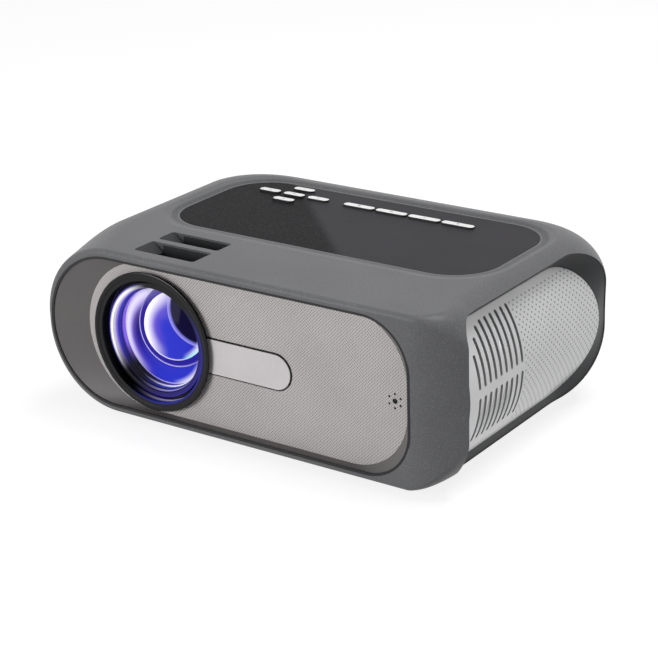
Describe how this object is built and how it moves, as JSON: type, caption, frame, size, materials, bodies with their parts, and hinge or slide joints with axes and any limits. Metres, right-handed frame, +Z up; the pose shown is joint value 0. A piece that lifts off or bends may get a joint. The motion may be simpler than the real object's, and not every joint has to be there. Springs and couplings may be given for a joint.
{
  "type": "projector",
  "caption": "Compact lamp-on-panel projector with a rounded grey case, front lens, mesh grille, top keys and side vents.",
  "frame": {"origin": "under the middle of the case's bounding box, on the plane that the four feet stand on", "axes": "+Z up; +X to the right for a viewer who faces the lens side; the lens and grille face -Y"},
  "size_m": [0.2058, 0.154, 0.077],
  "materials": {
    "case_plastic": "satin, fine speckle",
    "rim_plastic": "matte",
    "bezel_plastic": "satin",
    "grille_mesh": "matte, fine mesh pattern",
    "badge_plastic": "satin",
    "gloss_black": "gloss",
    "black_plastic": "matte",
    "deck_plastic": "matte",
    "key_plastic": "gloss",
    "silver_plastic": "satin",
    "rubber": "matte",
    "brass": "satin",
    "steel": "satin",
    "aluminium": "satin",
    "mirror": "polished",
    "coated_glass": "polished, blue-violet coating",
    "clear_glass": "polished",
    "lcd_glass": "polished",
    "circuit_board": "satin"
  },
  "bodies": {
    "case": {"housing": "case_plastic", "bottom_cover": "black_plastic", "front_bezel": "bezel_plastic", "front_grille": "grille_mesh", "badge_plate": "badge_plastic", "lens_ring": "gloss_black", "deck_panel": "deck_plastic", "key_board": "circuit_board", "right_rim": "rim_plastic", "left_rim": "rim_plastic", "right_vent_panel": "silver_plastic", "left_vent_panel": "silver_plastic", "port_panel": "black_plastic", "foot_front_left": "rubber", "foot_front_right": "rubber", "foot_rear_left": "rubber", "foot_rear_right": "rubber", "tripod_insert": "brass", "cover_screws": "steel", "lens_bracket": "black_plastic", "light_box": "black_plastic", "fold_mirror": "mirror", "front_fresnel": "clear_glass", "lcd_panel": "lcd_glass", "rear_fresnel": "clear_glass", "heat_glass": "clear_glass", "condenser_lens": "clear_glass", "led_module": "circuit_board", "heat_sink": "aluminium", "fan_frame": "black_plastic", "speaker": "black_plastic", "ir_receiver": "gloss_black", "main_board": "circuit_board", "power_board": "circuit_board", "hdmi_socket": "steel", "usb_socket": "steel", "av_jack": "black_plastic", "phone_jack": "black_plastic", "power_inlet": "black_plastic"},
    "keystone_wheel": {"keystone_wheel": "black_plastic"},
    "cradle": {"lens_cradle": "black_plastic"},
    "focus_wheel": {"focus_wheel": "black_plastic"},
    "barrel": {"lens_barrel": "gloss_black", "front_lens": "coated_glass", "middle_lens": "clear_glass", "rear_lens": "clear_glass", "lens_retainer": "gloss_black"},
    "fan_rotor": {"fan_rotor": "black_plastic"},
    "left_key": {"left_key": "key_plastic"},
    "right_key": {"right_key": "key_plastic"},
    "ok_key": {"ok_key": "key_plastic"},
    "up_key": {"up_key": "key_plastic"},
    "down_key": {"down_key": "key_plastic"},
    "source_key": {"source_key": "key_plastic"},
    "menu_key": {"menu_key": "key_plastic"},
    "back_key": {"back_key": "key_plastic"},
    "power_key": {"power_key": "key_plastic"}
  },
  "joints": [
    {"name": "keystone_turn", "type": "hinge", "parent": "case", "child": "keystone_wheel", "pos_m": [-0.047, -0.0485, 0.039], "axis": [0, 1, 0], "range_deg": [-25, 25]},
    {"name": "lens_tilt", "type": "hinge", "parent": "case", "child": "cradle", "pos_m": [-0.047, -0.0555, 0.039], "axis": [1, 0, 0], "range_deg": [-2, 2]},
    {"name": "focus_turn", "type": "hinge", "parent": "cradle", "child": "focus_wheel", "pos_m": [-0.047, -0.0635, 0.039], "axis": [0, 1, 0], "range_deg": [-40, 40]},
    {"name": "focus_slide", "type": "slide", "parent": "cradle", "child": "barrel", "axis": [0, 1, 0], "range_m": [-0.002, 0.002]},
    {"name": "fan_spin", "type": "hinge", "parent": "case", "child": "fan_rotor", "pos_m": [0.0793, -0.041, 0.04], "axis": [1, 0, 0], "continuous": true},
    {"name": "left_key_press", "type": "slide", "parent": "case", "child": "left_key", "axis": [0, 0, -1], "range_m": [0, 0.0005], "stiffness_N_per_m": 400, "springref_m": -0.0005},
    {"name": "right_key_press", "type": "slide", "parent": "case", "child": "right_key", "axis": [0, 0, -1], "range_m": [0, 0.0005], "stiffness_N_per_m": 400, "springref_m": -0.0005},
    {"name": "ok_key_press", "type": "slide", "parent": "case", "child": "ok_key", "axis": [0, 0, -1], "range_m": [0, 0.0005], "stiffness_N_per_m": 400, "springref_m": -0.0005},
    {"name": "up_key_press", "type": "slide", "parent": "case", "child": "up_key", "axis": [0, 0, -1], "range_m": [0, 0.0005], "stiffness_N_per_m": 400, "springref_m": -0.0005},
    {"name": "down_key_press", "type": "slide", "parent": "case", "child": "down_key", "axis": [0, 0, -1], "range_m": [0, 0.0005], "stiffness_N_per_m": 400, "springref_m": -0.0005},
    {"name": "source_key_press", "type": "slide", "parent": "case", "child": "source_key", "axis": [0, 0, -1], "range_m": [0, 0.0005], "stiffness_N_per_m": 400, "springref_m": -0.0005},
    {"name": "menu_key_press", "type": "slide", "parent": "case", "child": "menu_key", "axis": [0, 0, -1], "range_m": [0, 0.0005], "stiffness_N_per_m": 400, "springref_m": -0.0005},
    {"name": "back_key_press", "type": "slide", "parent": "case", "child": "back_key", "axis": [0, 0, -1], "range_m": [0, 0.0005], "stiffness_N_per_m": 400, "springref_m": -0.0005},
    {"name": "power_key_press", "type": "slide", "parent": "case", "child": "power_key", "axis": [0, 0, -1], "range_m": [0, 0.0005], "stiffness_N_per_m": 400, "springref_m": -0.0005}
  ],
  "couplings": [
    {"joint": "lens_tilt", "follows": "keystone_turn", "ratio": 0.08},
    {"joint": "focus_turn", "follows": "focus_slide", "rad_per_m": 349}
  ]
}
